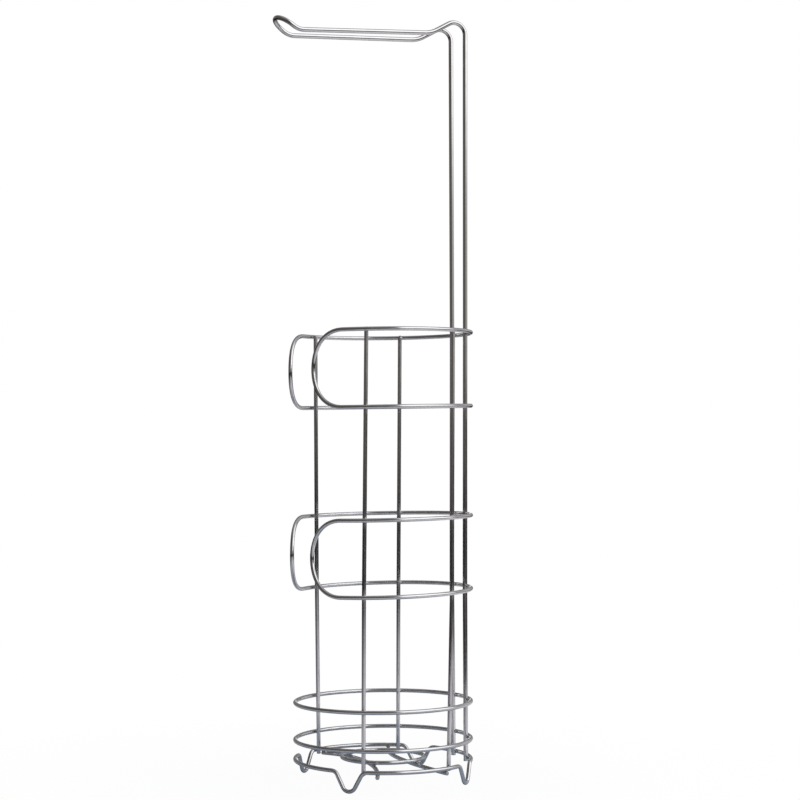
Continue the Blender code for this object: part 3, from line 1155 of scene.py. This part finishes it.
def floor_painted_light_and_shade(tree, place, reach):
    """The sheet's painted light and shade at each place, which is at this reach from its middle."""
    # Painted light: the sheet is darker on the left of the view and brighter to the right
    painted_light = ramp(tree, ranged(tree, dot_with(tree, place, RIGHT_OF_VIEW), FLOOR_PAINTED_LIGHT_SPAN), FLOOR_PAINTED_LIGHT_ACROSS)
    # Painted shadow close round the stand, and painted shade further out
    painted_shade = ramp(tree, ranged(tree, reach, (0.0, FLOOR_RADIUS)), FLOOR_PAINTED_SHADE_OUTWARD)
    return tinted(tree, painted_light, painted_shade)


def add_floor():
    """A pale sheet that runs out to the dark of the room, with painted light and shade in its tones. It is
    white to the eye and keeps the shadow.
    """
    bpy.ops.mesh.primitive_circle_add(vertices=FLOOR_SIDES, radius=FLOOR_RADIUS, fill_type="NGON")
    floor = bpy.context.object
    floor.name = "studio_floor"
    material = bpy.data.materials.new("floor_sheet")
    material.use_nodes = True
    tree = material.node_tree
    shader = tree.nodes["Principled BSDF"]
    shader.inputs["Roughness"].default_value = FLOOR_ROUGHNESS
    shader.inputs["Specular IOR Level"].default_value = 0.0
    place = add_node(tree, "ShaderNodeTexCoord").outputs["Object"]
    reach = length_of(tree, place)
    # The sheet's base colour carries the painted light and shade
    tree.links.new(floor_painted_light_and_shade(tree, place, reach), shader.inputs["Base Color"])

    far = ranged(tree, reach, (FLOOR_WHITE_FROM, FLOOR_WHITE_AT), FLOOR_NEAR_WHITE_SHARE, 1.0)
    path = add_node(tree, "ShaderNodeLightPath")
    white = add_node(tree, "ShaderNodeEmission", {"Color": (*WHITE, 1.0), "Strength": 1.0})
    mix = add_node(tree, "ShaderNodeMixShader")
    tree.links.new(times(tree, path.outputs["Is Camera Ray"], far), mix.inputs["Fac"])
    tree.links.new(shader.outputs["BSDF"], mix.inputs[1])
    tree.links.new(white.outputs["Emission"], mix.inputs[2])
    tree.links.new(mix.outputs["Shader"], tree.nodes["Material Output"].inputs["Surface"])
    floor.data.materials.append(material)


def room_colour(tree, way, height):
    """A dim room with a paler ceiling, brighter to the right and behind the object."""
    to_right = eased(tree, dot_with(tree, way, RIGHT_OF_VIEW), RIGHT_SPAN)
    ahead = eased(tree, dot_with(tree, way, AHEAD), AHEAD_SPAN)
    beside_gain = mixed(tree, to_right, WHITE, RIGHT_GAIN)
    ahead_gain = mixed(tree, to_right, AHEAD_GAIN, AHEAD_RIGHT_GAIN)
    return tinted(tree, ramp(tree, height, ROOM_TONES), mixed(tree, ahead, beside_gain, ahead_gain))


def wall_share(tree, way, height):
    """1 on the bright wall and 0 elsewhere, with soft edges."""
    toward = dot_with(tree, way, WALL_WAY)
    aside = math_node(tree, "DIVIDE", dot_with(tree, way, ALONG_WALL), toward)
    above = math_node(tree, "DIVIDE", height, toward)
    edges = times(
        tree, eased(tree, aside, WALL_LEFT_SPAN), eased(tree, aside, WALL_RIGHT_SPAN, 1.0, 0.0)
    )
    top = eased(tree, above, WALL_TOP_SPAN, 1.0, 0.0)
    in_front = math_node(tree, "GREATER_THAN", toward, WALL_FACING)
    return times(tree, times(tree, edges, top), in_front)


def white_share(tree, way):
    """1 for the eye, and for mirrored rays that go straight on past the object."""
    path = add_node(tree, "ShaderNodeLightPath")
    backdrop = eased(tree, dot_with(tree, way, AHEAD), BACKDROP_SPAN)
    mirrored = plus(tree, path.outputs["Is Glossy Ray"], path.outputs["Is Transmission Ray"])
    return plus(tree, path.outputs["Is Camera Ray"], times(tree, mirrored, backdrop))


def add_world():
    """White to the eye. The metal reflects a dim room with a pale ceiling and a bright wall on the right."""
    world = bpy.data.worlds.new("studio")
    bpy.context.scene.world = world
    world.use_nodes = True
    tree = world.node_tree
    way = add_node(tree, "ShaderNodeTexCoord").outputs["Generated"]
    height = separate_z(tree, way)
    room = room_colour(tree, way, height)
    lit = mixed(tree, wall_share(tree, way, height), room, ramp(tree, height, WALL_TONES))
    colour = mixed(tree, white_share(tree, way), lit, WHITE)
    tree.links.new(colour, tree.nodes["Background"].inputs["Color"])


def add_lamp():
    """A soft lamp at the right, which the metal doesn't mirror."""
    light = bpy.data.lights.new("key", "AREA")
    light.shape = "SQUARE"
    light.size = LAMP_SIZE
    light.energy = LAMP_POWER
    lamp = bpy.data.objects.new("key", light)
    lamp.visible_glossy = False
    lamp.location = LAMP_PLACE
    lamp.rotation_euler = (Vector(LAMP_AIM) - Vector(LAMP_PLACE)).to_track_quat("-Z", "Y").to_euler()
    bpy.context.scene.collection.objects.link(lamp)


def add_camera():
    """The eye stands at a height between the two collars and looks straight ahead."""
    data = bpy.data.cameras.new("view")
    data.sensor_width = SENSOR_WIDTH
    data.lens = LENS
    data.shift_x = SHIFT_RIGHT
    data.shift_y = SHIFT_UP
    camera = bpy.data.objects.new("view", data)
    camera.location = EYE
    camera.rotation_euler = Vector(AHEAD).to_track_quat("-Z", "Y").to_euler()
    bpy.context.scene.collection.objects.link(camera)
    bpy.context.scene.camera = camera


def build():
    bpy.context.scene.view_settings.view_transform = "Standard"
    add_camera()
    materials = {slot: chrome(*plating) for slot, plating in PLATINGS.items()}
    wires = all_wires()
    welds = all_welds(wires)
    for made in wires:
        add_wire(made, welds, materials)
    add_all_beads(wires, welds, materials)
    add_floor()
    add_world()
    add_lamp()


build()
